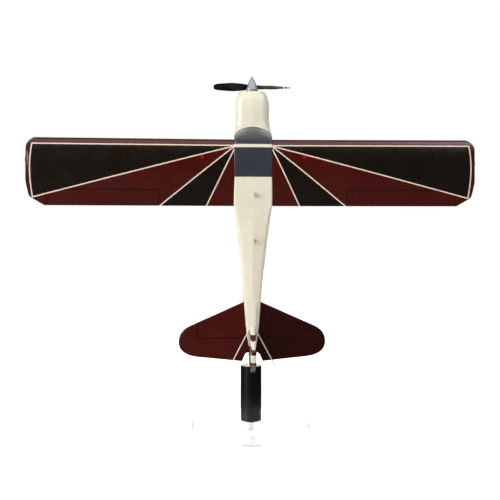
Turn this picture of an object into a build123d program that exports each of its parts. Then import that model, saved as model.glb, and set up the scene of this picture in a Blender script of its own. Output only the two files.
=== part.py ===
"""Desk model of a high-wing, tail-wheel propeller airplane, standing nose up on a round post.

Millimetres. The stand's axis is Z and its underside is z = 0. The airplane points up: +Z runs from
tail to nose, +X to starboard, and its top faces -Y. Its bottom faces +Y.
"""
import os
from math import cos, radians, sin, tan

from build123d import *

os.makedirs("parts", exist_ok=True)

# --- driving dimensions -------------------------------------------------------------------------
base_radius = 60.0
base_thickness = 10.0
post_radius = 10.7
post_height = 56.0
rod_radius = 1.7
rod_socket_depth = 26.0

thrust_y = -20.0  # the airplane's thrust line stands this far from the post's axis
nose_z = 338.3  # front face of the cowling
firewall_z = 303.5
roof_front_z = 293.5
stern_z = 87.3

wing_span = 425.0
wing_chord = 63.4
wing_front_z = 288.6  # leading edge
wing_bottom_y = thrust_y - 20.6  # flat underside at the root
wing_root_x = 18.4
wing_dihedral = 1.5
dowel_radius = 1.5

tail_half_span = 71.9
tail_mid_y = thrust_y - 5.5
tail_thickness = 4.2
fin_thickness = 5.6
scribe_width = 0.5
scribe_depth = 0.35

propeller_diameter = 76.0
propeller_z = 344.2
spinner_radius = 6.1
spinner_base_z = 340.4
spinner_tip_z = 354.7
shaft_radius = 1.2

wheel_x = 40.0
wheel_y = thrust_y + 45.0
wheel_z = 279.6
tyre_radius = 9.0
tyre_width = 6.4
axle_radius = 1.0

tail_wheel_radius = 3.8
tail_wheel_y = thrust_y + 12.4
tail_wheel_z = 77.5
kingpin_z = 83.5
kingpin_radius = 0.8

running_gap = 0.05  # radial, between a pin and the hole it turns in
glue_gap = 0.03  # radial, round a pin that is glued in

sides = (("left", -1), ("right", 1))
post_top = base_thickness + post_height
wing_rear_z = wing_front_z - wing_chord
half_span = wing_span / 2


def body_section(z, top_half, bottom_half, top, bottom, top_radius, bottom_radius, ridge):
    """Rounded section across the fuselage, with a ridge along the middle of its top.

    Heights are measured from the thrust line; the ridge stands that far above the shoulders.
    """
    with BuildSketch(Plane.XY.offset(z)) as section:
        with BuildLine():
            Polyline(
                (-top_half, thrust_y + top + ridge),
                (0, thrust_y + top),
                (top_half, thrust_y + top + ridge),
                (bottom_half, thrust_y + bottom),
                (-bottom_half, thrust_y + bottom),
                close=True,
            )
        make_face()
        fillet(section.vertices().group_by(Axis.Y)[1], top_radius)
        fillet(section.vertices().group_by(Axis.Y)[-1], bottom_radius)
    return section.sketch


def wing_rise(x):
    """How far dihedral lifts the wing towards -Y at span station x."""
    return (abs(x) - wing_root_x) * tan(radians(wing_dihedral))


def wing_section(x):
    """Flat-bottomed airfoil at span station x."""

    def at(chord_part, height):
        across = wing_bottom_y - wing_rise(x) - height * wing_chord
        return (across, wing_front_z - chord_part * wing_chord)

    with BuildSketch(Plane.YZ.offset(x)) as section:
        with BuildLine():
            Spline(
                at(0.12, 0),
                at(0.03, 0.009),
                at(0, 0.036),
                at(0.02, 0.065),
                at(0.07, 0.09),
                at(0.3, 0.12),
                at(0.65, 0.084),
                at(1, 0.012),
            )
            Line(at(1, 0.012), at(1, 0))
            Line(at(1, 0), at(0.12, 0))
        make_face()
    return section.sketch


# --- stand --------------------------------------------------------------------------------------
screw_radius = 2.5
screw_head_radius = 5.0
screw_head_angle = 82.0
screw_length = 30.0
screw_sink = 0.3  # the head lies this far inside the base's underside
hex_socket_radius = 1.7
hex_socket_depth = 1.6
thread_gap = 0.02
base_top_chamfer = 1.6
base_bottom_chamfer = 0.6

with BuildPart() as base_disc:
    Cylinder(base_radius, base_thickness, align=(Align.CENTER, Align.CENTER, Align.MIN))
    chamfer(base_disc.edges().group_by(Axis.Z)[-1], base_top_chamfer)
    chamfer(base_disc.edges().group_by(Axis.Z)[0], base_bottom_chamfer)
    with Locations(Location((0, 0, 0), (180, 0, 0))):
        CounterSinkHole(
            screw_radius + running_gap, screw_head_radius + running_gap, counter_sink_angle=screw_head_angle,
        )
base_disc.part.label = "base_disc"
export_step(base_disc.part, "parts/base_disc.step")

with BuildPart() as base_screw:
    with BuildSketch(Plane.XZ):
        head_height = (screw_head_radius - screw_radius) / tan(radians(screw_head_angle / 2))
        with BuildLine():
            Polyline(
                (0, screw_sink),
                (screw_head_radius - screw_sink, screw_sink),
                (screw_radius - thread_gap, head_height),
                (screw_radius - thread_gap, screw_length),
                (0, screw_length),
                close=True,
            )
        make_face()
    revolve(axis=Axis.Z)
    with BuildSketch(Plane.XY.offset(screw_sink)):
        RegularPolygon(hex_socket_radius, 6)
    extrude(amount=hex_socket_depth, mode=Mode.SUBTRACT)
base_screw.part.label = "base_screw"
export_step(base_screw.part, "parts/base_screw.step")

bush_radius = 3.6
bush_floor = 3.0
post_top_round = 0.7
small_chamfer = 0.4
with BuildPart() as post:
    with Locations((0, 0, base_thickness)):
        Cylinder(post_radius, post_height, align=(Align.CENTER, Align.CENTER, Align.MIN))
    fillet(post.edges().group_by(Axis.Z)[-1], post_top_round)
    chamfer(post.edges().group_by(Axis.Z)[0], small_chamfer)
    with Locations((0, 0, base_thickness)):
        Cylinder(screw_radius, screw_length - base_thickness + 1, mode=Mode.SUBTRACT,
                 align=(Align.CENTER, Align.CENTER, Align.MIN))
    with Locations((0, 0, post_top)):
        Cylinder(bush_radius + glue_gap, rod_socket_depth, mode=Mode.SUBTRACT,
                 align=(Align.CENTER, Align.CENTER, Align.MAX))
post.part.label = "post"
export_step(post.part, "parts/post.step")

with BuildPart() as post_bush:
    with Locations((0, 0, post_top)):
        Cylinder(bush_radius, rod_socket_depth - 0.1, align=(Align.CENTER, Align.CENTER, Align.MAX))
        Cylinder(rod_radius + running_gap, rod_socket_depth - bush_floor, mode=Mode.SUBTRACT,
                 align=(Align.CENTER, Align.CENTER, Align.MAX))
    chamfer(post_bush.edges().group_by(Axis.Z)[-1].sort_by(SortBy.RADIUS)[0], small_chamfer)
post_bush.part.label = "post_bush"
export_step(post_bush.part, "parts/post_bush.step")

# The rod turns in the post's bush, leans forward behind the tail wheel and enters the tail cone.
rod_bend_z = 112.0
rod_lean = 32.0
rod_run = 46.0
rod_bend_radius = 24.0
rod_foot_z = post_top - rod_socket_depth + 5
rod_tip = (-rod_run * sin(radians(rod_lean)), rod_bend_z + rod_run * cos(radians(rod_lean)))
with BuildPart() as stand_rod:
    with BuildLine(Plane.YZ) as rod_path:
        FilletPolyline((0, rod_foot_z), (0, rod_bend_z), rod_tip, radius=rod_bend_radius)
    with BuildSketch(Plane.XY.offset(rod_foot_z)):
        Circle(rod_radius)
    sweep(path=rod_path.line)
stand_rod.part.label = "stand_rod"
export_step(stand_rod.part, "parts/stand_rod.step")

# --- airframe -----------------------------------------------------------------------------------
# Each station: z, half width at top and bottom, top and bottom height, top and bottom corner radius,
# ridge.
tail_cone_stations = (
    (stern_z, 4.6, 5.4, -7.8, 6.0, 2.2, 2.2, 0.6),
    (125, 7.5, 9.0, -11.2, 9.2, 3.2, 3.2, 1.3),
    (165, 11.0, 12.9, -15.2, 13.2, 4.2, 4.0, 1.8),
    (200, 14.9, 16.9, -19.6, 17.0, 4.6, 4.6, 1.6),
    (216, 17.0, 18.3, -21.8, 18.8, 3.4, 5.0, 1.0),
    (wing_rear_z, 18.4, 18.9, -23.0, 19.6, 1.8, 5.0, 0.3),
)
cabin_stations = (
    tail_cone_stations[-1],
    (243, 18.4, 18.8, -25.8, 20.6, 1.5, 5.0, 0.2),
    (265, 18.4, 18.7, -28.5, 21.0, 1.3, 5.0, 0.2),
    (281, 18.4, 18.6, -28.2, 20.8, 1.6, 5.0, 0.2),
    (roof_front_z, 17.9, 18.4, -25.4, 19.6, 4.5, 5.5, 0.3),
)
firewall_station = (firewall_z, 17.3, 18.5, -14.8, 17.0, 9.0, 8.0, 1.2)
cowl_stations = (
    firewall_station,
    (320, 16.6, 17.7, -14.4, 16.4, 9.0, 8.0, 1.2),
    (331, 15.6, 16.8, -13.6, 15.4, 8.6, 8.0, 1.0),
    (nose_z, 12.0, 12.8, -10.6, 12.0, 7.0, 7.0, 0.6),
)
cowl_edge_radius = 2.4
dowel_places = [(thrust_y - 24.4, 272.0), (thrust_y - 22.9, 245.5)]
dowel_reach = 32.0
tail_dowel_z = 112.0
tail_dowel_reach = 22.0

with BuildPart() as fuselage:
    loft([body_section(*station) for station in tail_cone_stations])
    loft([body_section(*station) for station in cabin_stations])
    loft([body_section(*station) for station in (cabin_stations[-1], firewall_station)], ruled=True)
    with BuildSketch(Plane.YZ):
        with Locations(*dowel_places):
            Circle(dowel_radius + glue_gap)
        with Locations((tail_mid_y, tail_dowel_z)):
            Circle(dowel_radius / 2 + glue_gap)
    extrude(amount=dowel_reach, both=True, mode=Mode.SUBTRACT)
    with BuildSketch(Plane((0, *rod_tip), z_dir=(0, sin(radians(rod_lean)), -cos(radians(rod_lean))))):
        Circle(rod_radius + glue_gap)
    extrude(amount=rod_run, mode=Mode.SUBTRACT)
fuselage.part.label = "fuselage"
export_step(fuselage.part, "parts/fuselage.step")

nose_bush_radius = 2.5
nose_bush_flange = 0.8
nose_bush_flange_radius = 3.6
nose_bush_length = 20.0
intake_depth = 3.0
intake_x = 7.2
intake_width = 4.6
with BuildPart() as cowling:
    loft([body_section(*station) for station in cowl_stations])
    fillet(cowling.edges().group_by(Axis.Z)[-1], cowl_edge_radius)
    # Two cooling-air intakes beside the spinner.
    with BuildSketch(Plane.XY.offset(nose_z)):
        with Locations((-intake_x, thrust_y - 1.0), (intake_x, thrust_y - 1.0)):
            RectangleRounded(intake_width, 7.6, 1.8)
    extrude(amount=-intake_depth, mode=Mode.SUBTRACT)
    # The carburettor scoop's mouth under them.
    with BuildSketch(Plane.XY.offset(nose_z)):
        with Locations((0, thrust_y + 8.8)):
            SlotOverall(7.0, 2.6)
    extrude(amount=-intake_depth, mode=Mode.SUBTRACT)
    with Locations((0, thrust_y, nose_z)):
        Cylinder(nose_bush_radius + glue_gap, nose_bush_length, mode=Mode.SUBTRACT,
                 align=(Align.CENTER, Align.CENTER, Align.MAX))
cowling.part.label = "cowling"
export_step(cowling.part, "parts/cowling.step")

tip_radius = 4.4
tip_middle_y = wing_bottom_y - wing_rise(half_span) - 0.05 * wing_chord
aileron_inner_x = 89.8
aileron_outer_x = 193.8
aileron_front_z = 240.2
scribe_reach = 30.0
wings = {}
for side, way in sides:
    with BuildPart() as wing:
        loft([wing_section(way * (wing_root_x - 3)), wing_section(way * (half_span + 6))], ruled=True)
        # Front outline: the tip is rounded from top to bottom.
        with BuildSketch(Plane.XY):
            with BuildLine():
                ThreePointArc(
                    (way * (half_span - tip_radius), tip_middle_y - tip_radius),
                    (way * half_span, tip_middle_y),
                    (way * (half_span - tip_radius), tip_middle_y + tip_radius),
                )
                Polyline(
                    (way * (half_span - tip_radius), tip_middle_y + tip_radius),
                    (0, tip_middle_y + 2.5 * tip_radius),
                    (0, tip_middle_y - 2.5 * tip_radius),
                    (way * (half_span - tip_radius), tip_middle_y - tip_radius),
                )
            make_face()
        extrude(amount=2 * wing_front_z, both=True, mode=Mode.INTERSECT)
        # Plan outline: rounded front corner, slightly bowed tip, raked rear corner.
        with BuildSketch(Plane.XZ):
            with BuildLine():
                ThreePointArc(
                    (way * (half_span - 12), wing_front_z + 1),
                    (way * (half_span - 3.4), wing_front_z - 4.2),
                    (way * (half_span - 0.8), wing_front_z - 14),
                )
                ThreePointArc(
                    (way * (half_span - 0.8), wing_front_z - 14),
                    (way * half_span, wing_front_z - 28),
                    (way * (half_span - 2.8), wing_rear_z + 9.2),
                )
                Polyline(
                    (way * (half_span - 2.8), wing_rear_z + 9.2),
                    (way * (half_span - 4.8), wing_rear_z + 7.0),
                    (way * (half_span - 18.2), wing_rear_z - 1),
                    (0, wing_rear_z - 1),
                    (0, wing_front_z + 1),
                    (way * (half_span - 12), wing_front_z + 1),
                )
            make_face()
        extrude(amount=100, both=True, mode=Mode.INTERSECT)
        add(fuselage.part, mode=Mode.SUBTRACT)
        with BuildSketch(Plane.YZ):
            with Locations(*dowel_places):
                Circle(dowel_radius + glue_gap)
        extrude(amount=way * dowel_reach, mode=Mode.SUBTRACT)
    wings[side] = wing.part

# Each aileron is scribed: a shallow groove that follows the wing's top surface.
for side, way in sides:
    with BuildPart() as scribe:
        with Locations((way * (aileron_inner_x + aileron_outer_x) / 2, wing_bottom_y, aileron_front_z)):
            Box(aileron_outer_x - aileron_inner_x, scribe_reach, scribe_width)
        with Locations(*[(way * end_x, wing_bottom_y, aileron_front_z)
                         for end_x in (aileron_inner_x, aileron_outer_x)]):
            Box(scribe_width, scribe_reach, scribe_reach, align=(Align.CENTER, Align.CENTER, Align.MAX))
        add(wings[side].moved(Location((0, scribe_depth, 0))), mode=Mode.SUBTRACT)
        # Keep only the cutters above the wing.
        with Locations((0, wing_bottom_y - wing_rise(aileron_outer_x) + 1, aileron_front_z)):
            Box(wing_span, 40, wing_chord, mode=Mode.SUBTRACT, align=(Align.CENTER, Align.MIN, Align.CENTER))
    with BuildPart() as scribed_wing:
        add(wings[side])
        add(scribe.part, mode=Mode.SUBTRACT)
    scribed_wing.part.label = f"{side}_wing"
    export_step(scribed_wing.part, f"parts/{side}_wing.step")

with BuildPart() as spar_dowels:
    with BuildSketch(Plane.YZ):
        with Locations(*dowel_places):
            Circle(dowel_radius)
    extrude(amount=dowel_reach - 1, both=True)
spar_dowels.part.label = "spar_dowels"
export_step(spar_dowels.part, "parts/spar_dowels.step")

fin_edge_radius = 2.0
with BuildPart() as fin:
    with BuildSketch(Plane.YZ):
        with BuildLine():
            Polyline(
                (thrust_y + 6.0, 76.0),
                (thrust_y + 6.0, stern_z),
                (thrust_y - 6.6, 91),
                (thrust_y - 9.4, 136),
                (thrust_y - 11.6, 136),
                (thrust_y - 13.6, 110),
                (thrust_y - 31.5, 91.0),
            )
            ThreePointArc((thrust_y - 31.5, 91.0), (thrust_y - 35.4, 85.5), (thrust_y - 33.4, 79.0))
            ThreePointArc((thrust_y - 33.4, 79.0), (thrust_y - 22.5, 67.6), (thrust_y - 8.0, 63.4))
            ThreePointArc((thrust_y - 8.0, 63.4), (thrust_y + 2.2, 66.8), (thrust_y + 6.0, 76.0))
        make_face()
    extrude(amount=fin_thickness / 2, both=True)
    rim = fin.edges().filter_by(lambda e: abs(e.center().X) > fin_thickness / 2 - 0.1)
    fillet(rim.filter_by(lambda e: e.center().Z < 104 and e.center().Y < thrust_y + 5), fin_edge_radius)
    add(fuselage.part, mode=Mode.SUBTRACT)
fin.part.label = "fin_and_rudder"
export_step(fin.part, "parts/fin_and_rudder.step")

elevator_front_z = 97.1
horn_x = 53.7
horn_inner_x = 7.0
tailplane_edge_radius = 1.4
for side, way in sides:
    with BuildPart() as tailplane:
        with BuildSketch(Plane.XZ.offset(-tail_mid_y)):
            with BuildLine():
                # From the rear edge round the inner corner, up the middle and out along the front edge.
                Line((way * 52, 78.6), (way * 10.2, 74.3))
                Line((way * 10.2, 74.3), (way * 7.8, 79.8))
                ThreePointArc((way * 7.8, 79.8), (way * 6.2, 82.2), (way * 3.4, 83.2))
                Polyline((way * 3.4, 83.2), (0, 83.2), (0, 136.4), (way * 60, 109.7))
                Spline(
                    (way * 60, 109.7),
                    (way * tail_half_span, 95.2),
                    (way * 52, 78.6),
                    tangents=[(way * 0.9, -0.4), (-way, -0.1)],
                )
            make_face()
        extrude(amount=tail_thickness / 2, both=True)
        rim = tailplane.edges().filter_by(
            lambda e: abs(e.center().Y - tail_mid_y) > tail_thickness / 2 - 0.1
        )
        fillet(rim.filter_by(lambda e: abs(e.center().X) > 9.5), tailplane_edge_radius)
        add(fuselage.part, mode=Mode.SUBTRACT)
        add(fin.part, mode=Mode.SUBTRACT)
        with BuildSketch(Plane.YZ):
            with Locations((tail_mid_y, tail_dowel_z)):
                Circle(dowel_radius / 2 + glue_gap)
        extrude(amount=way * tail_dowel_reach, mode=Mode.SUBTRACT)
        # The elevator and its horn are scribed on both faces.
        for face_y in (-1, 1):
            with Locations((0, tail_mid_y + face_y * tail_thickness / 2, 0)):
                with Locations((way * (horn_x + horn_inner_x) / 2, 0, elevator_front_z)):
                    Box(horn_x - horn_inner_x, 2 * scribe_depth, scribe_width, mode=Mode.SUBTRACT)
                with Locations((way * horn_x, 0, elevator_front_z)):
                    Box(scribe_width, 2 * scribe_depth, 40, mode=Mode.SUBTRACT,
                        align=(Align.CENTER, Align.CENTER, Align.MIN))
    tailplane.part.label = f"{side}_tailplane"
    export_step(tailplane.part, f"parts/{side}_tailplane.step")

with BuildPart() as tail_dowel:
    with BuildSketch(Plane.YZ):
        with Locations((tail_mid_y, tail_dowel_z)):
            Circle(dowel_radius / 2)
    extrude(amount=tail_dowel_reach - 1, both=True)
tail_dowel.part.label = "tail_dowel"
export_step(tail_dowel.part, "parts/tail_dowel.step")

# --- struts and landing gear --------------------------------------------------------------------
strut_chord = 5.0
strut_thickness = 2.0
strut_foot = Vector(17.0, thrust_y + 17.5, 0)
strut_head = Vector(118.0, thrust_y - 24.6, 0)
strut_places = {"front": (283.0, 271.5), "rear": (275.5, 246.5)}
jury_x = 68.0
jury_radius = 0.7
jury_share = (jury_x - strut_foot.X) / (strut_head.X - strut_foot.X)
jury_foot_y = strut_foot.Y + jury_share * (strut_head.Y - strut_foot.Y)
trim_depth = 30.0
for side, way in sides:
    struts = {}
    for place, (foot_z, head_z) in strut_places.items():
        foot = Vector(way * strut_foot.X, strut_foot.Y, foot_z)
        head = Vector(way * strut_head.X, strut_head.Y, head_z)
        with BuildPart() as strut:
            with BuildSketch(Plane(foot, x_dir=(0, 0, 1), z_dir=head - foot)):
                Ellipse(strut_chord / 2, strut_thickness / 2)
            extrude(amount=(head - foot).length)
            add(fuselage.part, mode=Mode.SUBTRACT)
            add(wings[side], mode=Mode.SUBTRACT)
        strut.part.label = f"{side}_{place}_strut"
        export_step(strut.part, f"parts/{side}_{place}_strut.step")
        struts[place] = strut.part
    with BuildPart() as jury_struts:
        for place, (foot_z, head_z) in strut_places.items():
            with Locations((way * jury_x, wing_bottom_y + 4, foot_z + jury_share * (head_z - foot_z))):
                Cylinder(jury_radius, 36, rotation=(90, 0, 0))
        add(wings[side], mode=Mode.SUBTRACT)
        for place in strut_places:
            add(struts[place], mode=Mode.SUBTRACT)
        # What stands out beyond the wing's top and beyond the struts is cut off.
        with Locations((way * jury_x, wing_bottom_y - wing_rise(jury_x), wing_front_z - wing_chord / 2)):
            Box(20, trim_depth, wing_chord, mode=Mode.SUBTRACT,
                align=(Align.CENTER, Align.MAX, Align.CENTER))
        with Locations((way * jury_x, jury_foot_y, wing_front_z - wing_chord / 2)):
            Box(20, trim_depth, wing_chord, mode=Mode.SUBTRACT,
                align=(Align.CENTER, Align.MIN, Align.CENTER))
    jury_struts.part.label = f"{side}_jury_struts"
    export_step(jury_struts.part, f"parts/{side}_jury_struts.step")

leg_thickness = 1.8
leg_width = 6.4
leg_x = 34.4
hub_radius = 4.4
hub_half_width = 2.4
axle_inner_x = leg_x - 1.8
axle_end_x = wheel_x + tyre_width / 2 + 1.4
axle_head_thickness = 0.8
axle_head_radius = 1.9
axle_nut_radius = 2.0
axle_nut_thickness = 1.3
for side, way in sides:
    with BuildPart() as leg:
        with BuildSketch(Plane.XY.offset(wheel_z)):
            with BuildLine() as leg_path:
                FilletPolyline(
                    (way * 9, thrust_y + 18.0),
                    (way * 14.5, thrust_y + 22.5),
                    (way * leg_x, wheel_y - 4),
                    (way * leg_x, wheel_y + 2.6),
                    radius=4,
                )
            trace(leg_path.line, line_width=leg_thickness)
        extrude(amount=leg_width / 2, both=True)
        add(fuselage.part, mode=Mode.SUBTRACT)
        with Locations((way * leg_x, wheel_y, wheel_z)):
            Cylinder(axle_radius + glue_gap, 8, rotation=(0, 90, 0), mode=Mode.SUBTRACT)
    leg.part.label = f"{side}_gear_leg"
    export_step(leg.part, f"parts/{side}_gear_leg.step")

    with BuildPart() as axle:
        with BuildSketch(Plane.YZ.offset(way * axle_inner_x)):
            with Locations((wheel_y, wheel_z)):
                Circle(axle_radius)
        extrude(amount=way * (axle_end_x - axle_inner_x))
        with BuildSketch(Plane.YZ.offset(way * (axle_inner_x + axle_head_thickness))):
            with Locations((wheel_y, wheel_z)):
                RegularPolygon(axle_head_radius, 6)
        extrude(amount=-way * axle_head_thickness)
    axle.part.label = f"{side}_axle"
    export_step(axle.part, f"parts/{side}_axle.step")

    with BuildPart() as tyre:
        with BuildSketch(Plane.XY.offset(wheel_z)):
            with Locations((way * wheel_x, wheel_y + (hub_radius + tyre_radius) / 2)):
                RectangleRounded(tyre_width, tyre_radius - hub_radius, 2.1)
        revolve(axis=Axis((0, wheel_y, wheel_z), (1, 0, 0)))
    tyre.part.label = f"{side}_tyre"
    export_step(tyre.part, f"parts/{side}_tyre.step")

    with BuildPart() as hub:
        with BuildSketch(Plane.XY.offset(wheel_z)):
            with BuildLine():
                Polyline(
                    (way * (wheel_x - hub_half_width), wheel_y + axle_radius + running_gap),
                    (way * (wheel_x - hub_half_width), wheel_y + 2.4),
                    (way * (wheel_x - 1.2), wheel_y + 3.0),
                    (way * (wheel_x - 1.8), wheel_y + hub_radius - 0.02),
                    (way * (wheel_x + 1.8), wheel_y + hub_radius - 0.02),
                    (way * (wheel_x + 1.2), wheel_y + 3.0),
                    (way * (wheel_x + hub_half_width), wheel_y + 2.4),
                    (way * (wheel_x + hub_half_width), wheel_y + axle_radius + running_gap),
                    close=True,
                )
            make_face()
        revolve(axis=Axis((0, wheel_y, wheel_z), (1, 0, 0)))
    hub.part.label = f"{side}_hub"
    export_step(hub.part, f"parts/{side}_hub.step")

    with BuildPart() as axle_nut:
        with BuildSketch(Plane.YZ.offset(way * (wheel_x + hub_half_width + 0.3))):
            with Locations((wheel_y, wheel_z)):
                RegularPolygon(axle_nut_radius, 6)
                Circle(axle_radius + glue_gap, mode=Mode.SUBTRACT)
        extrude(amount=way * axle_nut_thickness)
    axle_nut.part.label = f"{side}_axle_nut"
    export_step(axle_nut.part, f"parts/{side}_axle_nut.step")

spring_thickness = 1.1
with BuildPart() as tail_spring:
    with BuildSketch(Plane.YZ):
        with BuildLine() as spring_path:
            FilletPolyline(
                (thrust_y + 8.2, 108), (thrust_y + 7.3, 93), (thrust_y + 9.6, kingpin_z - 1.6), radius=10,
            )
        trace(spring_path.line, line_width=spring_thickness)
    extrude(amount=1.9, both=True)
    add(fuselage.part, mode=Mode.SUBTRACT)
    with Locations((0, thrust_y + 9.3, kingpin_z)):
        Cylinder(kingpin_radius + glue_gap, 6, rotation=(90, 0, 0), mode=Mode.SUBTRACT)
tail_spring.part.label = "tail_spring"
export_step(tail_spring.part, "parts/tail_spring.step")

fork_crown_y = thrust_y + 10.9
fork_thickness = 0.9
fork_half_gap = 2.0
kingpin_head_radius = 1.3
kingpin_head_y = thrust_y + 7.9
kingpin_head_thickness = 0.6
kingpin_end_y = fork_crown_y + fork_thickness + 0.15
tail_axle_radius = 0.6
tail_hub_radius = 1.9
tail_tyre_width = 3.0
with BuildPart() as tail_kingpin:
    with BuildSketch(Plane.XZ.offset(-kingpin_head_y)):
        with Locations((0, kingpin_z)):
            Circle(kingpin_head_radius)
    extrude(amount=-kingpin_head_thickness)
    with BuildSketch(Plane.XZ.offset(-kingpin_head_y)):
        with Locations((0, kingpin_z)):
            Circle(kingpin_radius)
    extrude(amount=-(kingpin_end_y + 0.15 - kingpin_head_y))
    with BuildSketch(Plane.XZ.offset(-kingpin_end_y)):
        with Locations((0, kingpin_z)):
            Circle(kingpin_head_radius)
    extrude(amount=-0.5)
tail_kingpin.part.label = "tail_kingpin"
export_step(tail_kingpin.part, "parts/tail_kingpin.step")

with BuildPart() as tail_fork:
    with BuildSketch(Plane.XZ.offset(-fork_crown_y)):
        with Locations((0, kingpin_z)):
            RectangleRounded(2 * (fork_half_gap + fork_thickness), 3.6, 0.8)
            Circle(kingpin_radius + running_gap, mode=Mode.SUBTRACT)
    extrude(amount=-fork_thickness)
    for way in (-1, 1):
        with BuildSketch(Plane.YZ.offset(way * fork_half_gap)):
            with BuildLine():
                Polyline(
                    (fork_crown_y, kingpin_z + 1.0),
                    (fork_crown_y, kingpin_z - 1.8),
                    (tail_wheel_y - 1.1, tail_wheel_z - 1.2),
                    (tail_wheel_y + 1.1, tail_wheel_z - 1.2),
                    (fork_crown_y + 2.6, kingpin_z - 1.2),
                    (fork_crown_y + 1.2, kingpin_z + 1.0),
                    close=True,
                )
            make_face()
        extrude(amount=way * fork_thickness)
    with Locations((0, tail_wheel_y, tail_wheel_z)):
        Cylinder(tail_axle_radius + glue_gap, 12, rotation=(0, 90, 0), mode=Mode.SUBTRACT)
tail_fork.part.label = "tail_fork"
export_step(tail_fork.part, "parts/tail_fork.step")

with BuildPart() as tail_axle:
    with Locations((0, tail_wheel_y, tail_wheel_z)):
        Cylinder(tail_axle_radius, 2 * (fork_half_gap + fork_thickness) + 0.6, rotation=(0, 90, 0))
tail_axle.part.label = "tail_axle"
export_step(tail_axle.part, "parts/tail_axle.step")

with BuildPart() as tail_tyre:
    with BuildSketch(Plane.XY.offset(tail_wheel_z)):
        with Locations((0, tail_wheel_y + (tail_wheel_radius + tail_hub_radius) / 2)):
            RectangleRounded(tail_tyre_width, tail_wheel_radius - tail_hub_radius, 0.9)
    revolve(axis=Axis((0, tail_wheel_y, tail_wheel_z), (1, 0, 0)))
tail_tyre.part.label = "tail_tyre"
export_step(tail_tyre.part, "parts/tail_tyre.step")

with BuildPart() as tail_hub:
    with Locations((0, tail_wheel_y, tail_wheel_z)):
        Cylinder(tail_hub_radius - 0.02, tail_tyre_width - 0.4, rotation=(0, 90, 0))
        Cylinder(1.1, tail_tyre_width + 0.5, rotation=(0, 90, 0))
        Cylinder(tail_axle_radius + running_gap, 6, rotation=(0, 90, 0), mode=Mode.SUBTRACT)
tail_hub.part.label = "tail_hub"
export_step(tail_hub.part, "parts/tail_hub.step")

# --- propeller ----------------------------------------------------------------------------------
hub_boss_radius = 3.0
hub_boss_height = 4.4
# Each blade station: radius, chord, thickness and pitch. The last three round the tip off.
blade_stations = (
    (2.4, 4.0, 2.4, 50),
    (8, 7.6, 1.8, 41),
    (16, 10.8, 1.4, 32),
    (26, 11.2, 1.1, 27),
    (34, 9.8, 0.9, 24.5),
    (36.6, 7.8, 0.7, 24),
    (propeller_diameter / 2, 3.6, 0.4, 24),
)
with BuildPart() as propeller:
    with Locations((0, thrust_y, propeller_z)):
        Cylinder(hub_boss_radius, hub_boss_height)
    for way in (-1, 1):
        sections = []
        for radius, chord, thickness, pitch in blade_stations:
            chord_dir = (0, way * cos(radians(pitch)), sin(radians(pitch)))
            middle = (way * radius, thrust_y, propeller_z)
            with BuildSketch(Plane(middle, x_dir=chord_dir, z_dir=(way, 0, 0))) as cut:
                Ellipse(chord / 2, thickness / 2)
            sections.append(cut.sketch)
        loft(sections)
    with Locations((0, thrust_y, propeller_z)):
        Cylinder(shaft_radius + glue_gap, 8, mode=Mode.SUBTRACT)
propeller.part.label = "propeller"
export_step(propeller.part, "parts/propeller.step")

backplate_thickness = 1.0
with BuildPart() as spinner_backplate:
    with Locations((0, thrust_y, spinner_base_z)):
        Cylinder(spinner_radius + 0.3, backplate_thickness, align=(Align.CENTER, Align.CENTER, Align.MAX))
        Cylinder(shaft_radius + glue_gap, 4, mode=Mode.SUBTRACT)
    chamfer(spinner_backplate.edges().group_by(Axis.Z)[0].sort_by(SortBy.RADIUS)[-1], 0.3)
spinner_backplate.part.label = "spinner_backplate"
export_step(spinner_backplate.part, "parts/spinner_backplate.step")

spinner_hollow = 6.4
blade_slot_width = 5.4
spinner_tip_radius = 0.5
with BuildPart() as spinner:
    with BuildSketch(Plane.XZ.offset(-thrust_y)):
        with BuildLine():
            Line((0, spinner_base_z), (spinner_radius, spinner_base_z))
            Line((spinner_radius, spinner_base_z), (spinner_radius, spinner_base_z + 1.2))
            ThreePointArc(
                (spinner_radius, spinner_base_z + 1.2),
                (spinner_radius * 0.56, spinner_base_z + 8.6),
                (spinner_tip_radius, spinner_tip_z),
            )
            Line((spinner_tip_radius, spinner_tip_z), (0, spinner_tip_z))
            Line((0, spinner_tip_z), (0, spinner_base_z))
        make_face()
    revolve(axis=Axis((0, thrust_y, 0), (0, 0, 1)))
    with Locations((0, thrust_y, spinner_base_z)):
        Cylinder(hub_boss_radius + 0.15, spinner_hollow, mode=Mode.SUBTRACT,
                 align=(Align.CENTER, Align.CENTER, Align.MIN))
    # Slots for the blade roots, open at the back.
    with Locations((0, thrust_y, spinner_base_z)):
        Box(2 * spinner_radius + 2, blade_slot_width, spinner_hollow, mode=Mode.SUBTRACT,
            align=(Align.CENTER, Align.CENTER, Align.MIN))
spinner.part.label = "spinner"
export_step(spinner.part, "parts/spinner.step")

shaft_rear_z = nose_z - nose_bush_length + 1
shaft_front_z = propeller_z + hub_boss_height / 2
with BuildPart() as propeller_shaft:
    with Locations((0, thrust_y, shaft_rear_z)):
        Cylinder(shaft_radius, shaft_front_z - shaft_rear_z, align=(Align.CENTER, Align.CENTER, Align.MIN))
propeller_shaft.part.label = "propeller_shaft"
export_step(propeller_shaft.part, "parts/propeller_shaft.step")

with BuildPart() as nose_bush:
    with Locations((0, thrust_y, nose_z)):
        Cylinder(nose_bush_radius, nose_bush_length - 0.2, align=(Align.CENTER, Align.CENTER, Align.MAX))
        Cylinder(nose_bush_flange_radius, nose_bush_flange, align=(Align.CENTER, Align.CENTER, Align.MIN))
        Cylinder(shaft_radius + running_gap, 60, mode=Mode.SUBTRACT)
nose_bush.part.label = "nose_bush"
export_step(nose_bush.part, "parts/nose_bush.step")

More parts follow.
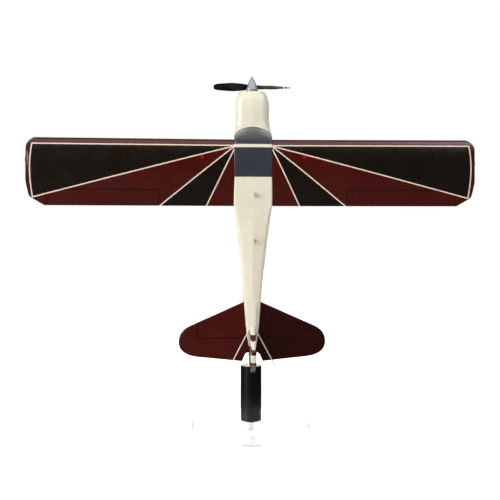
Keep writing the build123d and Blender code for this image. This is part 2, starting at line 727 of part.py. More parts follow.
# --- trim ---------------------------------------------------------------------------------------
exhaust_radius = 1.4
exhaust_wall = 0.45
exhaust_run = 14.0
exhaust_dir = (0, sin(radians(40)), -cos(radians(40)))
with BuildPart() as exhaust_pipes:
    for way in (-1, 1):
        with BuildSketch(Plane((way * 7, thrust_y + 12, 316), z_dir=exhaust_dir)):
            Circle(exhaust_radius)
            Circle(exhaust_radius - exhaust_wall, mode=Mode.SUBTRACT)
        extrude(amount=exhaust_run)
    add(cowling.part, mode=Mode.SUBTRACT)
    add(fuselage.part, mode=Mode.SUBTRACT)
    with Locations((0, thrust_y + 8, 312)):
        Box(30, 13, 20, mode=Mode.SUBTRACT)
exhaust_pipes.part.label = "exhaust_pipes"
export_step(exhaust_pipes.part, "parts/exhaust_pipes.step")

# Two blade antennas beside the spine, and a swept rod antenna on each side of the fin.
antenna_x = 1.9
antenna_thickness = 1.4
for place, antenna_z, antenna_y in (("front", 236.0, thrust_y - 23.6), ("rear", 192.0, thrust_y - 16.6)):
    with BuildPart() as antenna:
        with BuildSketch(Plane.YZ.offset(antenna_x)):
            with BuildLine():
                Polyline(
                    (antenna_y, antenna_z + 2.4),
                    (antenna_y - 5.6, antenna_z - 0.4),
                    (antenna_y - 6.2, antenna_z - 2.4),
                    (antenna_y, antenna_z - 2.4),
                    close=True,
                )
            make_face()
        extrude(amount=antenna_thickness / 2, both=True)
        add(fuselage.part, mode=Mode.SUBTRACT)
    antenna.part.label = f"{place}_antenna"
    export_step(antenna.part, f"parts/{place}_antenna.step")

whisker_radius = 0.55
whisker_root = Vector(1.0, thrust_y - 9.3, 109.5)
whisker_tip = Vector(22.6, thrust_y - 13.4, 69.2)
for side, way in sides:
    with BuildPart() as whisker:
        root = Vector(way * whisker_root.X, whisker_root.Y, whisker_root.Z)
        tip = Vector(way * whisker_tip.X, whisker_tip.Y, whisker_tip.Z)
        with BuildSketch(Plane(root, z_dir=tip - root)):
            Circle(whisker_radius)
        extrude(amount=(tip - root).length)
        fillet(whisker.edges().group_by(Axis.Z)[0], 0.3)
        add(fin.part, mode=Mode.SUBTRACT)
        add(fuselage.part, mode=Mode.SUBTRACT)
    whisker.part.label = f"{side}_nav_whisker"
    export_step(whisker.part, f"parts/{side}_nav_whisker.step")

cap_x = 48.5
cap_z = 271.1
cap_radius = 1.7
light_radius = 1.0
light_length = 4.6
light_z = 267.0
for side, way in sides:
    with BuildPart() as fuel_cap:
        with Locations((way * cap_x, wing_bottom_y - 0.122 * wing_chord - wing_rise(cap_x) + 1.0, cap_z)):
            Cylinder(cap_radius, 3.0, rotation=(90, 0, 0))
        chamfer(fuel_cap.edges().group_by(Axis.Y)[0], 0.25)
        add(wings[side], mode=Mode.SUBTRACT)
    fuel_cap.part.label = f"{side}_fuel_cap"
    export_step(fuel_cap.part, f"parts/{side}_fuel_cap.step")

    with BuildPart() as nav_light:
        with Locations((way * (half_span - 0.4), tip_middle_y, light_z)):
            Cylinder(light_radius, light_length)
            fillet(nav_light.edges().filter_by(GeomType.CIRCLE), light_radius - 0.1)
        add(wings[side], mode=Mode.SUBTRACT)
    nav_light.part.label = f"{side}_nav_light"
    export_step(nav_light.part, f"parts/{side}_nav_light.step")
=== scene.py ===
"""Looks for a desk model of a high-wing propeller airplane that stands nose up on a round post.

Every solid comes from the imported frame. This script gives each one its finish, and sets up a pale
studio and the camera. The frame is in metres; paint is laid out in millimetres of the same frame.
"""
from math import radians, sin

import bpy
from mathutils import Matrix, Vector


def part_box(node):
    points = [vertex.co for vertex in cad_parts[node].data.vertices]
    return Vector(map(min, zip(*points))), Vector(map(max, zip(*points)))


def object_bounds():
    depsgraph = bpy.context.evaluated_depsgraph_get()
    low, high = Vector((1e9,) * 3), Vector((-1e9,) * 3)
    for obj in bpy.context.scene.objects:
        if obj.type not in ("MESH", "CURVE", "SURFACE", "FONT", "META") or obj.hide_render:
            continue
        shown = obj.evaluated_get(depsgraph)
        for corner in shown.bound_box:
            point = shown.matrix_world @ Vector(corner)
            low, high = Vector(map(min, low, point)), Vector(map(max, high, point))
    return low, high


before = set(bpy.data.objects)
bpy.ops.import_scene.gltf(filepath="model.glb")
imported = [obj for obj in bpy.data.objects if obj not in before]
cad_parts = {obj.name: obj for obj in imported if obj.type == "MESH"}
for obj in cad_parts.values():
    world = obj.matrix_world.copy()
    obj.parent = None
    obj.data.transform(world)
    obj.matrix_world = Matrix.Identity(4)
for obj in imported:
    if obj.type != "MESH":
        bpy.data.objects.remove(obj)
cad_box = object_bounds()

MM = 0.001
thrust_y = -20.0  # the airplane's thrust line, from the post's axis
wing_root_x = 18.4
wing_rear_z = 225.2
aileron_front_z = 240.2
aileron_ends_x = (89.8, 193.8)
elevator_front_z = 97.1
elevator_inner_x = 7
elevator_horn_x = 53.7
# The scribed grooves round the ailerons and elevators are painted dark: partly dirt, partly painted shade in
# the groove.
groove_width = 0.9  # of the dark line painted into a scribed groove that runs along the span
groove_end_width = 0.8
groove_dirt_and_shade = 0.85  # how much of the paint it hides
nose_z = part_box("cowling")[1].z / MM


def srgb(red, green, blue):
    """A colour given as 0-255 display values, as linear RGBA."""
    def linear(value):
        share = value / 255
        return share / 12.92 if share <= 0.04045 else ((share + 0.055) / 1.055) ** 2.4
    return (linear(red), linear(green), linear(blue), 1.0)


cream = srgb(227, 221, 200)
line_cream = srgb(230, 208, 188)
maroon = srgb(71, 11, 5)
# Darker maroon for the right tailplane: painted shade, standing in for the shade that half of the tail sits
# in, not a different paint.
shaded_maroon = srgb(43, 3, 1)
black_brown = srgb(22, 15, 8)
slate = srgb(52, 57, 63)
slate_front = srgb(58, 58, 66)
glass_grey = srgb(152, 149, 141)
glass_brown = srgb(104, 103, 94)
# Grey-cream for the cream antennas: painted shade, standing in for their shaded sides and the shadows they
# cast.
antenna_shaded_cream = srgb(150, 144, 126)
groove_dark = srgb(20, 8, 6)
window_dark = srgb(40, 43, 46)
bead_grey = srgb(88, 84, 76)


class Finish:
    """A new material, with short calls for the nodes that make its colour, roughness and bump."""

    def __init__(self, name, **settings):
        self.material = bpy.data.materials.new(name)
        self.material.use_nodes = True
        self.tree = self.material.node_tree
        self.shader = self.tree.nodes["Principled BSDF"]
        for key, value in settings.items():
            self.shader.inputs[key.replace("_", " ")].default_value = value
        point = self.new("VectorMath", operation="SCALE")
        point.inputs["Scale"].default_value = 1 / MM
        self.coordinates = self.new("TexCoord")
        self.feed(self.coordinates.outputs["Object"], point.inputs[0])
        self.point = point.outputs[0]
        axes = self.new("SeparateXYZ")
        self.feed(self.point, axes.inputs[0])
        self.x, self.y, self.z = axes.outputs
        self.span = self.math("ABSOLUTE", self.x)

    def new(self, kind, **settings):
        node = self.tree.nodes.new("ShaderNode" + kind)
        for key, value in settings.items():
            setattr(node, key, value)
        return node

    def feed(self, value, socket):
        if isinstance(value, bpy.types.NodeSocket):
            self.tree.links.new(value, socket)
        else:
            socket.default_value = value

    def math(self, operation, *values):
        node = self.new("Math", operation=operation)
        for value, socket in zip(values, node.inputs):
            self.feed(value, socket)
        return node.outputs[0]

    def spread(self, value, low, high, start=0.0, end=1.0, kind="LINEAR"):
        """Maps start..end of value onto low..high, and holds it there outside them."""
        node = self.new("MapRange", interpolation_type=kind)
        names = ("Value", "From Min", "From Max", "To Min", "To Max")
        for name, number in zip(names, (value, start, end, low, high)):
            self.feed(number, node.inputs[name])
        return node.outputs["Result"]

    def above(self, value, limit, soft=0.12):
        """1 where value is over limit, 0 where it is under, with an edge about 2 * soft wide."""
        return self.spread(value, 0, 1, limit - soft, limit + soft, "SMOOTHSTEP")

    def both(self, *masks):
        result = masks[0]
        for mask in masks[1:]:
            result = self.math("MULTIPLY", result, mask)
        return result

    def either(self, *masks):
        result = masks[0]
        for mask in masks[1:]:
            result = self.math("MAXIMUM", result, mask)
        return result

    def outside(self, mask):
        return self.math("SUBTRACT", 1.0, mask)

    def between(self, value, low, high, soft=0.12):
        return self.both(self.above(value, low, soft), self.outside(self.above(value, high, soft)))

    def past_line(self, across, along, start, end):
        """Distance of the point (across, along) from the line start-end, positive to its left."""
        way = (Vector(end) - Vector(start)).normalized()
        first = self.math("MULTIPLY", self.math("SUBTRACT", across, start[0]), -way.y)
        return self.math("MULTIPLY_ADD", self.math("SUBTRACT", along, start[1]), way.x, first)

    def stripe(self, distance, width, soft=0.12):
        return self.outside(self.above(self.math("ABSOLUTE", distance), width / 2, soft))

    def noise(self, size, detail=2.0, stretch=(1, 1, 1)):
        """Noise from 0 to 1 whose blobs are about size millimetres, longer where stretch is over 1."""
        scale = self.new("VectorMath", operation="MULTIPLY")
        self.feed(self.point, scale.inputs[0])
        scale.inputs[1].default_value = [1 / (size * part) for part in stretch]
        node = self.new("TexNoise")
        node.inputs["Scale"].default_value = 1.0
        node.inputs["Detail"].default_value = detail
        self.feed(scale.outputs[0], node.inputs["Vector"])
        return node.outputs[0]

    def over(self, under, colour, mask):
        node = self.new("Mix", data_type="RGBA")
        for value, index in ((mask, 0), (under, 6), (colour, 7)):
            self.feed(value, node.inputs[index])
        return node.outputs[2]

    def drift(self, colour, amount, size):
        """Lets a colour's brightness drift by amount either way over patches of that size."""
        node = self.new("Mix", data_type="RGBA", blend_type="MULTIPLY")
        node.inputs[0].default_value = 1.0
        level = self.spread(self.noise(size, 3), 1 - 2 * amount, 1.0, 0.3, 0.7)
        grey = self.new("CombineColor")
        for socket in grey.inputs:
            self.feed(level, socket)
        self.feed(colour, node.inputs[6])
        self.feed(grey.outputs[0], node.inputs[7])
        return node.outputs[2]

    def surface(self, colour, roughness, height, coat_too=False):
        """Joins colour, roughness and a height in millimetres to the shader."""
        bump = self.new("Bump")
        bump.inputs["Distance"].default_value = MM
        self.feed(height, bump.inputs["Height"])
        self.feed(colour, self.shader.inputs["Base Color"])
        self.feed(roughness, self.shader.inputs["Roughness"])
        self.feed(bump.outputs[0], self.shader.inputs["Normal"])
        if coat_too:
            self.feed(bump.outputs[0], self.shader.inputs["Coat Normal"])
        return self.material


# --- painted wood -------------------------------------------------------------------------------
def enamel(finish, colour, grain, edges=None):
    """Gloss enamel brushed over carved wood: faint grain, slow colour drift, dust specks and haze.

    edges is a mask of the painted lines, which stand a little proud of the paint beside them.
    """
    wood = finish.math("MULTIPLY", finish.noise(1.1, 3, grain), 0.010)
    brushed = finish.math("MULTIPLY_ADD", finish.noise(0.5, 1, grain), 0.006, wood)
    waves = finish.math("MULTIPLY_ADD", finish.noise(9, 1), 0.035, brushed)
    height = waves if edges is None else finish.math("MULTIPLY_ADD", edges, 0.03, waves)
    haze = finish.spread(finish.noise(14, 4), 0.2, 0.32, 0.3, 0.7)
    dust = finish.above(finish.noise(0.8, 1), 0.78, 0.02)
    roughness = finish.math("MULTIPLY_ADD", dust, 0.2, haze)
    film = finish.math("MULTIPLY", dust, 0.25)
    dusty = finish.over(finish.drift(colour, 0.03, 26), srgb(188, 170, 158), film)
    return finish.surface(dusty, roughness, height, coat_too=True)


def gloss(name):
    return Finish(name, Coat_Weight=0.2, Coat_Roughness=0.12, Specular_IOR_Level=0.4)


def wing_paint():
    """The sunburst: three rays from the root, a stripe behind the leading edge and one along the tip."""
    paint = gloss("wing_enamel")
    line_width = 1.15
    line_z = 282.3
    tip_stripe_x = 207.7
    tip_stripe_rear_z = 232.2
    tip_middle_z, tip_reach, tip_bow = 255, 30, 2.4
    lines = {
        "front": ((wing_root_x, line_z), (210, line_z)),
        "long": ((wing_root_x, 281.6), (206.4, 232.8)),
        "middle": ((wing_root_x, 281.0), (88.7, wing_rear_z)),
        "short": ((wing_root_x, 278.1), (44.6, wing_rear_z)),
    }
    reach = {name: paint.past_line(paint.span, paint.z, *ends) for name, ends in lines.items()}
    before = {name: paint.above(distance, 0) for name, distance in reach.items()}
    # The tip's stripe bows outwards as the tip does.
    from_middle = paint.math("DIVIDE", paint.math("SUBTRACT", paint.z, tip_middle_z), tip_reach)
    bow = paint.math("MULTIPLY", paint.math("POWER", from_middle, 2), tip_bow)
    past_tip = paint.math("ADD", paint.math("SUBTRACT", paint.span, tip_stripe_x), bow)
    inside_tip = paint.outside(paint.above(past_tip, 0))
    front_panel = paint.both(paint.outside(before["front"]), before["long"], inside_tip)
    rear_panel = paint.both(paint.outside(before["middle"]), before["short"])
    tip_stripe = paint.both(
        paint.stripe(past_tip, line_width),
        paint.between(paint.z, tip_stripe_rear_z, line_z + line_width / 2),
    )
    within = paint.outside(paint.above(past_tip, line_width / 2))
    rays = [paint.both(paint.stripe(distance, line_width), within) for distance in reach.values()]
    stripes = paint.either(tip_stripe, *rays)
    colour = paint.over(paint.drift(maroon, 0.08, 40), black_brown, paint.either(front_panel, rear_panel))
    # Dirt and shade in the scribed line round each aileron.
    hinge = paint.both(
        paint.stripe(paint.math("SUBTRACT", paint.z, aileron_front_z), groove_width),
        paint.between(paint.span, aileron_ends_x[0] - 0.2, aileron_ends_x[1] + 0.2),
    )
    ends = [paint.stripe(paint.math("SUBTRACT", paint.span, x), groove_end_width) for x in aileron_ends_x]
    behind_hinge = paint.outside(paint.above(paint.z, aileron_front_z + 0.2))
    groove = paint.either(hinge, paint.both(paint.either(*ends), behind_hinge))
    colour = paint.over(colour, groove_dark, paint.math("MULTIPLY", groove, groove_dirt_and_shade))
    colour = paint.over(colour, line_cream, stripes)
    return enamel(paint, colour, (30, 1, 1), stripes)


def slope_arc(paint, apex_z, drop, half_width):
    """Height of an arc across the fuselage that falls by drop from the middle to half_width."""
    bow = paint.math("POWER", paint.math("DIVIDE", paint.span, half_width), 2)
    return paint.math("SUBTRACT", apex_z, paint.math("MULTIPLY", bow, drop))


def fuselage_paint():
    """Cream, with a slate roof panel, a cream stripe across it, and dark painted windows."""
    paint = gloss("fuselage_enamel")
    roof_rear_z = 252.6
    roof_edge_z, roof_edge_drop = 294.4, 5.4
    glass_edge_z, glass_edge_drop = 302.1, 8.8
    stripe_rear_z, stripe_front_z = 280.5, 283.6
    window_sill = -12.6  # heights are measured down from the thrust line
    shoulder = -14.5
    bead_width = 0.5
    height = paint.math("SUBTRACT", paint.y, thrust_y)
    on_top = paint.outside(paint.above(height, shoulder, 0.4))
    roof_edge = slope_arc(paint, roof_edge_z, roof_edge_drop, wing_root_x)
    short_of_roof_edge = paint.math("SUBTRACT", roof_edge, paint.z)
    roof_front = paint.above(short_of_roof_edge, 0, 0.35)
    above_doors = paint.outside(paint.above(height, -20.0))
    roof = paint.both(paint.above(paint.z, roof_rear_z), roof_front, above_doors)
    front_part = paint.above(paint.z, 282)
    across_roof = paint.outside(paint.above(height, -20.4))
    stripe = paint.both(paint.between(paint.z, stripe_rear_z, stripe_front_z), across_roof)
    glass_edge = slope_arc(paint, glass_edge_z, glass_edge_drop, wing_root_x)
    short_of_glass_edge = paint.math("SUBTRACT", glass_edge, paint.z)
    windshield = paint.both(paint.outside(roof_front), paint.above(short_of_glass_edge, 0), on_top)
    bead = paint.both(paint.stripe(short_of_glass_edge, bead_width), on_top)
    # Side windows, as seen from the side: the door's, the one behind it and the small rear one.
    slanted = paint.math("ADD", paint.z, paint.math("MULTIPLY", height, -0.82))
    door = paint.both(
        paint.above(paint.z, 262.5),
        paint.outside(paint.above(slanted, 309.5)),
        paint.between(height, -23.2, window_sill),
    )
    middle = paint.both(
        paint.between(paint.z, 233.0, 259.8),
        paint.between(height, -21.6, window_sill),
    )
    rear_top = paint.math("MULTIPLY_ADD", paint.math("SUBTRACT", paint.z, 203.0), -0.13, -15.6)
    rear = paint.both(
        paint.between(paint.z, 204.0, 229.8),
        paint.above(paint.math("SUBTRACT", height, rear_top), 0),
        paint.outside(paint.above(height, -11.2)),
    )
    windows = paint.either(door, middle, rear)
    panes = paint.over(glass_brown, glass_grey, paint.spread(paint.span, 0, 1, 2.5, 13.5, "SMOOTHSTEP"))
    near_roof = paint.spread(short_of_roof_edge, 0, 1, -4.0, 0.0, "SMOOTHSTEP")
    panes = paint.over(panes, slate_front, paint.math("MULTIPLY", near_roof, 0.8))
    colour = paint.over(cream, paint.over(slate, slate_front, front_part), roof)
    colour = paint.over(colour, cream, stripe)
    colour = paint.over(colour, panes, windshield)
    colour = paint.over(colour, bead_grey, bead)
    colour = paint.over(colour, window_dark, windows)
    return enamel(paint, colour, (1, 1, 24), stripe)


def cowl_paint():
    """Cream outside, with soot-dark air intakes in its front face."""
    paint = gloss("cowling_enamel")
    intake_inner_x, intake_outer_x = 4.9, 9.5
    scoop_half_width = 3.5
    hollow_depth = 3.4
    depth = paint.math("SUBTRACT", nose_z, paint.z)
    in_intake = paint.both(
        paint.between(paint.span, intake_inner_x, intake_outer_x),
        paint.between(paint.y, thrust_y - 4.8, thrust_y + 2.8),
    )
    in_scoop = paint.both(
        paint.outside(paint.above(paint.span, scoop_half_width)),
        paint.between(paint.y, thrust_y + 7.5, thrust_y + 10.1),
    )
    inside = paint.between(depth, 0.35, hollow_depth, 0.2)
    hollow = paint.both(paint.either(in_intake, in_scoop), inside)
    return enamel(paint, paint.over(cream, srgb(30, 28, 25), hollow), (1, 1, 24))


def fin_paint():
    """Rays that fan out from the fin's root, maroon and cream by turns, and a maroon rudder."""
    paint = gloss("fin_enamel")
    hub_y, hub_z = thrust_y - 9, 106
    ray_angles = ((18.9, 29.0), (34.2, 39.4))
    rudder_angles = (51.8, 170)
    up = paint.math("SUBTRACT", hub_y, paint.y)
    back = paint.math("SUBTRACT", hub_z, paint.z)
    angle = paint.math("DEGREES", paint.math("ARCTAN2", back, up))
    bands = [paint.between(angle, *ends, 0.25) for ends in (*ray_angles, rudder_angles)]
    red = paint.either(*bands)
    return enamel(paint, paint.over(cream, paint.drift(maroon, 0.08, 30), red), (1, 1, 24))


def tail_paint(name, tone):
    """Maroon, clouded by polishing, with dirt and painted shade in the scribed line round the elevator."""
    paint = gloss(name)
    hinge = paint.both(
        paint.stripe(paint.math("SUBTRACT", paint.z, elevator_front_z), groove_width),
        paint.between(paint.span, elevator_inner_x, elevator_horn_x + 0.2),
    )
    horn = paint.both(
        paint.stripe(paint.math("SUBTRACT", paint.span, elevator_horn_x), groove_end_width),
        paint.above(paint.z, elevator_front_z - 0.2),
    )
    groove = paint.math("MULTIPLY", paint.either(hinge, horn), groove_dirt_and_shade)
    return enamel(paint, paint.over(paint.drift(tone, 0.08, 24), groove_dark, groove), (30, 1, 1))


def plain_paint(name, colour, grain):
    return enamel(gloss(name), colour, grain)


def bare_wood():
    wood = Finish("bare_wood")
    rings = wood.noise(1.6, 5, (14, 1, 1))
    colour = wood.over(srgb(196, 160, 116), srgb(142, 102, 62), wood.spread(rings, 0, 1, 0.4, 0.62))
    return wood.surface(colour, wood.spread(rings, 0.5, 0.75), wood.math("MULTIPLY", rings, 0.06))


def black_lacquer():
    """Satin lacquer on a turned post: very faint turning rings and fine dust."""
    lacquer = Finish("black_lacquer", Coat_Weight=0.12, Coat_Roughness=0.16, Specular_IOR_Level=0.3)
    rings = lacquer.noise(0.35, 2, (40, 40, 1))
    dust = lacquer.above(lacquer.noise(0.4, 1), 0.75, 0.03)
    colour = lacquer.over(lacquer.drift(srgb(11, 11, 12), 0.1, 12), srgb(44, 43, 42), dust)
    roughness = lacquer.spread(lacquer.noise(5, 4, (3, 3, 1)), 0.26, 0.4, 0.3, 0.7)
    return lacquer.surface(colour, roughness, lacquer.math("MULTIPLY", rings, 0.012), coat_too=True)


# --- metal, rubber and plastic ------------------------------------------------------------------
def metal(name, colour, rough, grain, scratch=0.006, worn=None):
    """Bare metal with fine lines along its grain and slow smudges."""
    finish = Finish(name, Metallic=1.0)
    lines = finish.noise(0.22, 3, grain)
    smudge = finish.noise(3.5, 4)
    base = finish.over(finish.drift(colour, 0.06, 5), worn or colour, finish.above(smudge, 0.62, 0.06))
    cloudy = finish.spread(smudge, rough - 0.05, rough + 0.1, 0.3, 0.7)
    roughness = finish.math("ADD", finish.spread(lines, -0.06, 0.06), cloudy)
    return finish.surface(base, roughness, finish.math("MULTIPLY", lines, scratch))


def tyre_rubber(name, centre_y, centre_z, outer_radius):
    """Matt rubber, dusty, with fine ribs round the tread."""
    rubber = Finish(name, Specular_IOR_Level=0.35)
    across = rubber.math("POWER", rubber.math("SUBTRACT", rubber.y, centre_y), 2)
    along = rubber.math("POWER", rubber.math("SUBTRACT", rubber.z, centre_z), 2)
    reach = rubber.math("SQRT", rubber.math("ADD", across, along))
    tread = rubber.above(reach, outer_radius - 1.0, 0.2)
    ribs = rubber.math("SINE", rubber.math("MULTIPLY", rubber.x, 7.5))
    grit = rubber.noise(0.3, 4)
    height = rubber.math("MULTIPLY_ADD", rubber.both(tread, ribs), 0.05, rubber.math("MULTIPLY", grit, 0.03))
    colour = rubber.over(srgb(24, 24, 23), srgb(58, 56, 52), rubber.above(rubber.noise(2.2, 4), 0.6, 0.08))
    return rubber.surface(colour, rubber.spread(grit, 0.6, 0.85), height)


def propeller_paint():
    """Satin black; the front faces carry a white, a black and a silver band at each tip."""
    white_band = (31.0, 32.4)
    silver_from = 34.0
    paint = Finish("propeller_paint", Coat_Weight=0.05, Coat_Roughness=0.3, Specular_IOR_Level=0.25)
    normal = paint.new("SeparateXYZ")
    paint.feed(paint.coordinates.outputs["Normal"], normal.inputs[0])
    front = paint.above(normal.outputs[2], 0.2, 0.1)
    white = paint.both(front, paint.between(paint.span, *white_band))
    silver = paint.both(front, paint.above(paint.span, silver_from))
    chips = paint.above(paint.noise(0.7, 4), 0.72, 0.03)
    colour = paint.over(paint.drift(srgb(9, 9, 8), 0.1, 6), srgb(226, 222, 210), white)
    colour = paint.over(colour, srgb(168, 168, 166), silver)
    colour = paint.over(colour, srgb(44, 42, 39), chips)
    roughness = paint.spread(paint.noise(4, 4), 0.3, 0.48, 0.3, 0.7)
    return paint.surface(colour, roughness, paint.math("MULTIPLY", paint.noise(0.6, 2), 0.012))


def silver_paint(name):
    """Silver enamel on the spinner: fine flakes, and a darker ring where it meets the backplate."""
    paint = Finish(name, Metallic=0.4, Coat_Weight=0.15, Coat_Roughness=0.3)
    flakes = paint.noise(0.12, 1)
    base_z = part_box("spinner")[0].z / MM
    ring = paint.stripe(paint.math("SUBTRACT", paint.z, base_z + 0.5), 0.5)
    colour = paint.over(paint.drift(srgb(166, 167, 168), 0.05, 4), srgb(120, 120, 121), ring)
    roughness = paint.spread(flakes, 0.4, 0.52)
    return paint.surface(colour, roughness, paint.math("MULTIPLY", flakes, 0.008))


def clear_acrylic():
    """Polished acrylic that lets light through to the floor, with faint rub marks on it."""
    acrylic = Finish("clear_acrylic", IOR=1.49, Transmission_Weight=1.0)
    rubs = acrylic.above(acrylic.noise(0.5, 3, (1, 9, 1)), 0.68, 0.03)
    colour = acrylic.over(srgb(249, 252, 252), srgb(238, 243, 244), rubs)
    acrylic.surface(colour, acrylic.spread(rubs, 0.02, 0.16), acrylic.math("MULTIPLY", rubs, 0.004))
    # Shadow rays pass straight through, so that the floor under the disc stays bright, and part of
    # every other ray does too, because the acrylic is very clear.
    passing = acrylic.new("BsdfTransparent")
    path = acrylic.new("LightPath")
    choice = acrylic.new("MixShader")
    output = acrylic.tree.nodes["Material Output"]
    clearness = acrylic.spread(rubs, 0.4, 0.34)
    acrylic.feed(acrylic.either(path.outputs["Is Shadow Ray"], clearness), choice.inputs[0])
    acrylic.feed(acrylic.shader.outputs[0], choice.inputs[1])
    acrylic.feed(passing.outputs[0], choice.inputs[2])
    acrylic.feed(choice.outputs[0], output.inputs["Surface"])
    return acrylic.material


def tinted(name, colour, deep):
    """A small moulded or painted cap: glossy, with slight mottling and swirl marks."""
    plastic = Finish(name, Coat_Weight=0.4, Coat_Roughness=0.08)
    mottle = plastic.noise(0.8, 3)
    swirl = plastic.noise(0.25, 2, (3, 1, 1))
    mixed = plastic.over(colour, deep, plastic.spread(mottle, 0, 1, 0.4, 0.7))
    return plastic.surface(mixed, plastic.spread(swirl, 0.18, 0.34), plastic.math("MULTIPLY", swirl, 0.01))


def give(material, *names):
    """Puts a material on every slot of the named CAD nodes."""
    for name in names:
        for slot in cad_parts[name].material_slots:
            slot.material = material


def pair(name):
    return ("left_" + name, "right_" + name)


bright_steel = srgb(205, 206, 208)
give(fuselage_paint(), "fuselage")
give(cowl_paint(), "cowling")
give(wing_paint(), *pair("wing"))
give(tail_paint("left_tailplane_enamel", maroon), "left_tailplane")
# The right tailplane is painted in the darker maroon: painted shade, not a second paint colour.
give(tail_paint("right_tailplane_shaded_enamel", shaded_maroon), "right_tailplane")
give(fin_paint(), "fin_and_rudder")
strut_names = (*pair("front_strut"), *pair("rear_strut"), *pair("jury_struts"))
give(plain_paint("strut_enamel", cream, (8, 8, 4)), *strut_names)
give(plain_paint("whisker_enamel", cream, (4, 4, 8)), *pair("nav_whisker"))
# The cream antennas are painted darker than their real cream: painted shade.
give(plain_paint("antenna_shaded_enamel", antenna_shaded_cream, (1, 4, 1)), "front_antenna", "rear_antenna")
give(plain_paint("gear_enamel", cream, (8, 8, 2)), *pair("gear_leg"), "tail_fork")
give(bare_wood(), "spar_dowels", "tail_dowel")
give(black_lacquer(), "post")
give(clear_acrylic(), "base_disc")
give(metal("bright_steel", bright_steel, 0.28, (1, 1, 14)), "stand_rod", "base_screw", "propeller_shaft",
     "tail_spring", "tail_kingpin")
give(metal("axle_steel", bright_steel, 0.26, (12, 1, 1)), *pair("axle"), *pair("axle_nut"), "tail_axle")
brass = metal("turned_brass", srgb(206, 168, 92), 0.3, (9, 9, 1), worn=srgb(168, 128, 70))
give(brass, "post_bush", "nose_bush")
give(metal("turned_aluminium", srgb(208, 208, 206), 0.34, (1, 6, 6)), *pair("hub"), "tail_hub")
give(metal("exhaust_steel", srgb(132, 126, 120), 0.5, (3, 3, 3), 0.02, srgb(92, 74, 60)), "exhaust_pipes")
for tyre_name in (*pair("tyre"), "tail_tyre"):
    low, high = (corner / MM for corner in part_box(tyre_name))
    middle = (low + high) / 2
    give(tyre_rubber(tyre_name + "_rubber", middle.y, middle.z, (high.z - low.z) / 2), tyre_name)
give(propeller_paint(), "propeller")
give(silver_paint("spinner_silver"), "spinner", "spinner_backplate")
give(tinted("cap_red", srgb(150, 22, 16), srgb(118, 12, 10)), *pair("fuel_cap"))
give(tinted("lens_red", srgb(176, 30, 24), srgb(140, 18, 14)), "left_nav_light")
give(tinted("lens_green", srgb(176, 206, 188), srgb(150, 190, 170)), "right_nav_light")


# --- studio -------------------------------------------------------------------------------------
def make_floor():
    """A wide pale floor under the stand."""
    half = 6.0
    near_glow = 0.62
    mirrored_grey = 0.08
    mesh = bpy.data.meshes.new("floor")
    corners = [(-half, -half), (half, -half), (half, half), (-half, half)]
    floor_z = cad_box[0][2] - 0.2 * MM
    mesh.from_pydata([(x, y, floor_z) for x, y in corners], [], [(0, 1, 2, 3)])
    floor = bpy.data.objects.new("floor", mesh)
    bpy.context.scene.collection.objects.link(floor)
    card = Finish("floor_card", Specular_IOR_Level=0.1)
    tone = card.drift(srgb(250, 250, 249), 0.008, 60)
    fibres = card.math("MULTIPLY", card.noise(0.8, 3), 0.01)
    card.surface(tone, card.spread(card.noise(2, 3), 0.8, 0.95), fibres)
    # Seen directly or through the clear disc the card glows a little, more so far away, so that it
    # runs white into the backdrop. In the paint's reflections it is dark, like the room around it.
    path = card.new("LightPath")
    squares = card.math("ADD", card.math("POWER", card.x, 2), card.math("POWER", card.y, 2))
    away = card.math("SQRT", squares)
    seen = card.math("MAXIMUM", path.outputs["Is Camera Ray"], path.outputs["Is Transmission Ray"])
    glow = card.new("Emission")
    level = card.spread(away, near_glow, 1.0, 90, 420)
    card.feed(card.math("MULTIPLY", seen, level), glow.inputs["Strength"])
    lit = card.new("AddShader")
    card.feed(card.shader.outputs[0], lit.inputs[0])
    card.feed(glow.outputs[0], lit.inputs[1])
    dark = card.new("BsdfDiffuse")
    dark.inputs["Color"].default_value = (mirrored_grey, mirrored_grey, mirrored_grey, 1)
    mirrored = card.both(path.outputs["Is Glossy Ray"], card.outside(path.outputs["Is Transmission Ray"]))
    choice = card.new("MixShader")
    card.feed(mirrored, choice.inputs[0])
    card.feed(lit.outputs[0], choice.inputs[1])
    card.feed(dark.outputs[0], choice.inputs[2])
    card.feed(choice.outputs[0], card.tree.nodes["Material Output"].inputs["Surface"])
    mesh.materials.append(card.material)


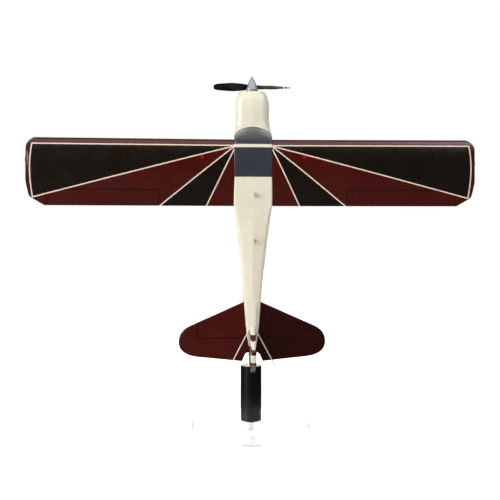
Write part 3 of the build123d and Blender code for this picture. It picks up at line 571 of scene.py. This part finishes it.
def make_world():
    """White to the camera. As light it is bright above and behind the object and dim in front of it."""
    world = bpy.data.worlds.new("studio")
    bpy.context.scene.world = world
    world.use_nodes = True
    tree = world.node_tree
    tree.nodes.clear()

    def node(kind, **settings):
        made = tree.nodes.new("ShaderNode" + kind)
        for key, value in settings.items():
            setattr(made, key, value)
        return made

    def ramp(socket, start, end, low, high):
        made = node("MapRange", interpolation_type="SMOOTHSTEP")
        tree.links.new(socket, made.inputs["Value"])
        for name, number in (("From Min", start), ("From Max", end), ("To Min", low), ("To Max", high)):
            made.inputs[name].default_value = number
        return made.outputs["Result"]

    direction = node("SeparateXYZ")
    tree.links.new(node("TexCoord").outputs["Generated"], direction.inputs[0])
    behind = ramp(direction.outputs[1], 0.1, 0.9, 0.03, 0.45)
    overhead = ramp(direction.outputs[2], 0.35, 0.95, 0.0, 0.35)
    total = node("Math", operation="ADD")
    tree.links.new(behind, total.inputs[0])
    tree.links.new(overhead, total.inputs[1])
    lighting = node("Background")
    tree.links.new(total.outputs[0], lighting.inputs["Strength"])
    lighting.inputs["Color"].default_value = (1.0, 0.995, 0.985, 1)
    seen = node("Background")
    seen.inputs["Color"].default_value = (1, 1, 1, 1)
    path = node("LightPath")
    direct = node("Math", operation="MAXIMUM")
    tree.links.new(path.outputs["Is Camera Ray"], direct.inputs[0])
    tree.links.new(path.outputs["Is Transmission Ray"], direct.inputs[1])
    choice = node("MixShader")
    tree.links.new(direct.outputs[0], choice.inputs[0])
    tree.links.new(lighting.outputs[0], choice.inputs[1])
    tree.links.new(seen.outputs[0], choice.inputs[2])
    tree.links.new(choice.outputs[0], node("OutputWorld").inputs["Surface"])


def softbox(name, place, target, width, height, power):
    """A rectangular area light that faces the target."""
    light = bpy.data.lights.new(name, "AREA")
    light.shape = "RECTANGLE"
    light.size = width
    light.size_y = height
    light.energy = power
    lamp = bpy.data.objects.new(name, light)
    lamp.location = place
    lamp.rotation_euler = (Vector(target) - Vector(place)).to_track_quat("-Z", "Y").to_euler()
    bpy.context.scene.collection.objects.link(lamp)


def make_camera():
    """Looks level along the airplane's down direction, from a little to port."""
    height = 183.2 * MM
    distance = 613.6 * MM
    yaw = radians(2.6)
    aim = Vector((-3.3 * MM, -49.0 * MM, height))
    data = bpy.data.cameras.new("camera")
    data.lens = 46.8
    data.sensor_width = 36
    camera = bpy.data.objects.new("camera", data)
    camera.location = aim - Vector((sin(yaw) * distance, distance, 0))
    camera.rotation_euler = (radians(90), 0, -yaw)
    bpy.context.scene.collection.objects.link(camera)
    bpy.context.scene.camera = camera


make_floor()
make_world()
centre = (0, thrust_y * MM, 0.2)
softbox("key_light", (-1.26, -0.76, 0.6), centre, width=0.8, height=1.2, power=20.5)
softbox("fill_light", (0.9, -0.75, 1.3), centre, width=0.9, height=0.9, power=7)
softbox("top_light", (0, -0.75, 1.25), centre, width=1.3, height=0.7, power=4.2)
softbox("belly_light", (0.2, 1.3, 0.35), centre, width=1.2, height=1.0, power=8)
make_camera()
bpy.context.scene.view_settings.view_transform = "Standard"
